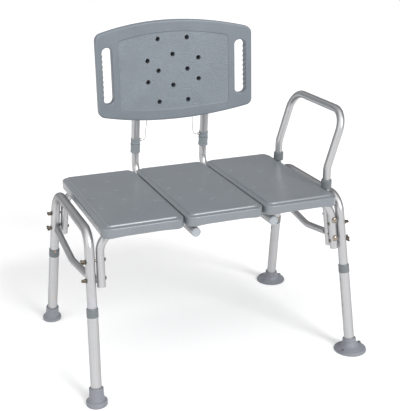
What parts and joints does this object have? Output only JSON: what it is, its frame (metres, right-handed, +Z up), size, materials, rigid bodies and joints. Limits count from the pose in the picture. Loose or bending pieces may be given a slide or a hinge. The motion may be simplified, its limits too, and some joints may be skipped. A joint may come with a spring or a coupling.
{
  "type": "bath transfer bench",
  "caption": "Bath transfer bench with moulded seat panels and backrest, splayed adjustable aluminium legs, an arm rail, suction cups at one end and rubber tips at the other.",
  "frame": {"origin": "on the floor, under the middle of the overall box", "axes": "+Z up, -Y towards the front of the seat, +X towards the arm rail"},
  "size_m": [0.8368, 0.6206, 0.901],
  "materials": {
    "seat_plastic": "fine moulded grain, satin",
    "back_plastic": "fine moulded grain, satin",
    "rail_tube": "bright anodised, brushed along the tube",
    "bow_tube": "bright anodised, brushed along the tube",
    "brace_tube": "dull anodised",
    "extension_tube": "bright anodised, brushed along the tube",
    "arm_tube": "bright anodised, brushed along the tube",
    "cross_tube": "bright anodised",
    "post_tube": "bright anodised, brushed along the tube",
    "collar_plastic": "moulded, satin",
    "ring_plastic": "moulded, satin",
    "cap_plastic": "moulded, satin",
    "foot_rubber": "matt moulded rubber",
    "button_brass": "worn",
    "wing_brass": "dull plated",
    "dome_steel": "plated",
    "pin_steel": "plated",
    "tether_cord": "smooth cord"
  },
  "bodies": {
    "frame": {"arm_bolt_back_lower": "dome_steel", "arm_bolt_back_upper": "dome_steel", "arm_bolt_front_lower": "dome_steel", "arm_bolt_front_upper": "dome_steel", "arm_collar_back": "collar_plastic", "arm_collar_front": "collar_plastic", "arm_post_back": "rail_tube", "arm_post_front": "rail_tube", "cross_brace_left": "brace_tube", "cross_brace_right": "brace_tube", "cross_tube_left": "cross_tube", "cross_tube_right": "cross_tube", "end_cap_left": "cap_plastic", "end_cap_right": "cap_plastic", "leg_bow_left": "bow_tube", "leg_bow_right": "bow_tube", "lower_post_left": "post_tube", "lower_post_right": "post_tube", "lower_ring_left": "ring_plastic", "lower_ring_right": "ring_plastic", "seat_panel_left": "seat_plastic", "seat_panel_middle": "seat_plastic", "seat_panel_right": "seat_plastic", "seat_rail_back": "rail_tube", "seat_rail_front": "rail_tube", "wing_bolt_back_left_lower": "wing_brass", "wing_bolt_back_left_upper": "wing_brass", "wing_bolt_back_right_lower": "wing_brass", "wing_bolt_back_right_upper": "wing_brass", "wing_bolt_front_left_lower": "wing_brass", "wing_bolt_front_left_upper": "wing_brass", "wing_bolt_front_right_lower": "wing_brass", "wing_bolt_front_right_upper": "wing_brass"},
    "extension_front_left": {"leg_extension_front_left": "extension_tube", "leg_collar_front_left": "collar_plastic", "rubber_tip_front_left": "foot_rubber"},
    "button_front_left": {"leg_button_front_left": "button_brass"},
    "extension_back_left": {"leg_extension_back_left": "extension_tube", "leg_collar_back_left": "collar_plastic", "rubber_tip_back_left": "foot_rubber"},
    "button_back_left": {"leg_button_back_left": "button_brass"},
    "extension_front_right": {"leg_extension_front_right": "extension_tube", "leg_collar_front_right": "collar_plastic", "suction_cup_front_right": "foot_rubber"},
    "button_front_right": {"leg_button_front_right": "button_brass"},
    "extension_back_right": {"leg_extension_back_right": "extension_tube", "leg_collar_back_right": "collar_plastic", "suction_cup_back_right": "foot_rubber"},
    "button_back_right": {"leg_button_back_right": "button_brass"},
    "arm": {"arm_rail": "arm_tube"},
    "backrest": {"backrest_panel": "back_plastic", "upper_post_left": "post_tube", "upper_post_right": "post_tube", "upper_ring_left": "ring_plastic", "upper_ring_right": "ring_plastic"},
    "pin_left": {"lock_pin_left": "pin_steel", "tether_left": "tether_cord"},
    "pin_right": {"lock_pin_right": "pin_steel", "tether_right": "tether_cord"}
  },
  "joints": [
    {"name": "leg_height_front_left", "type": "slide", "parent": "frame", "child": "extension_front_left", "axis": [-0.0418, -0.176, -0.9835], "range_m": [-0.0254, 0.1016]},
    {"name": "button_press_front_left", "type": "slide", "parent": "frame", "child": "button_front_left", "axis": [-1, 0, 0], "range_m": [0, 0.0025], "stiffness_N_per_m": 600, "springref_m": -0.002},
    {"name": "leg_height_back_left", "type": "slide", "parent": "frame", "child": "extension_back_left", "axis": [-0.0417, 0.1884, -0.9812], "range_m": [-0.0254, 0.1016]},
    {"name": "button_press_back_left", "type": "slide", "parent": "frame", "child": "button_back_left", "axis": [-1, 0, 0], "range_m": [0, 0.0025], "stiffness_N_per_m": 600, "springref_m": -0.002},
    {"name": "leg_height_front_right", "type": "slide", "parent": "frame", "child": "extension_front_right", "axis": [0.0418, -0.176, -0.9835], "range_m": [-0.0254, 0.1016]},
    {"name": "button_press_front_right", "type": "slide", "parent": "frame", "child": "button_front_right", "axis": [1, 0, 0], "range_m": [0, 0.0025], "stiffness_N_per_m": 600, "springref_m": -0.002},
    {"name": "leg_height_back_right", "type": "slide", "parent": "frame", "child": "extension_back_right", "axis": [0.0417, 0.1884, -0.9812], "range_m": [-0.0254, 0.1016]},
    {"name": "button_press_back_right", "type": "slide", "parent": "frame", "child": "button_back_right", "axis": [1, 0, 0], "range_m": [0, 0.0025], "stiffness_N_per_m": 600, "springref_m": -0.002},
    {"name": "arm_lift_off", "type": "slide", "parent": "frame", "child": "arm", "axis": [0, 0, 1], "range_m": [0, 0.05]},
    {"name": "backrest_lift_off", "type": "slide", "parent": "frame", "child": "backrest", "axis": [0, -0.1289, 0.9917], "range_m": [0, 0.12]},
    {"name": "pin_pull_left", "type": "slide", "parent": "backrest", "child": "pin_left", "axis": [1, 0, 0], "range_m": [0, 0.02]},
    {"name": "pin_pull_right", "type": "slide", "parent": "backrest", "child": "pin_right", "axis": [-1, 0, 0], "range_m": [0, 0.02]}
  ]
}
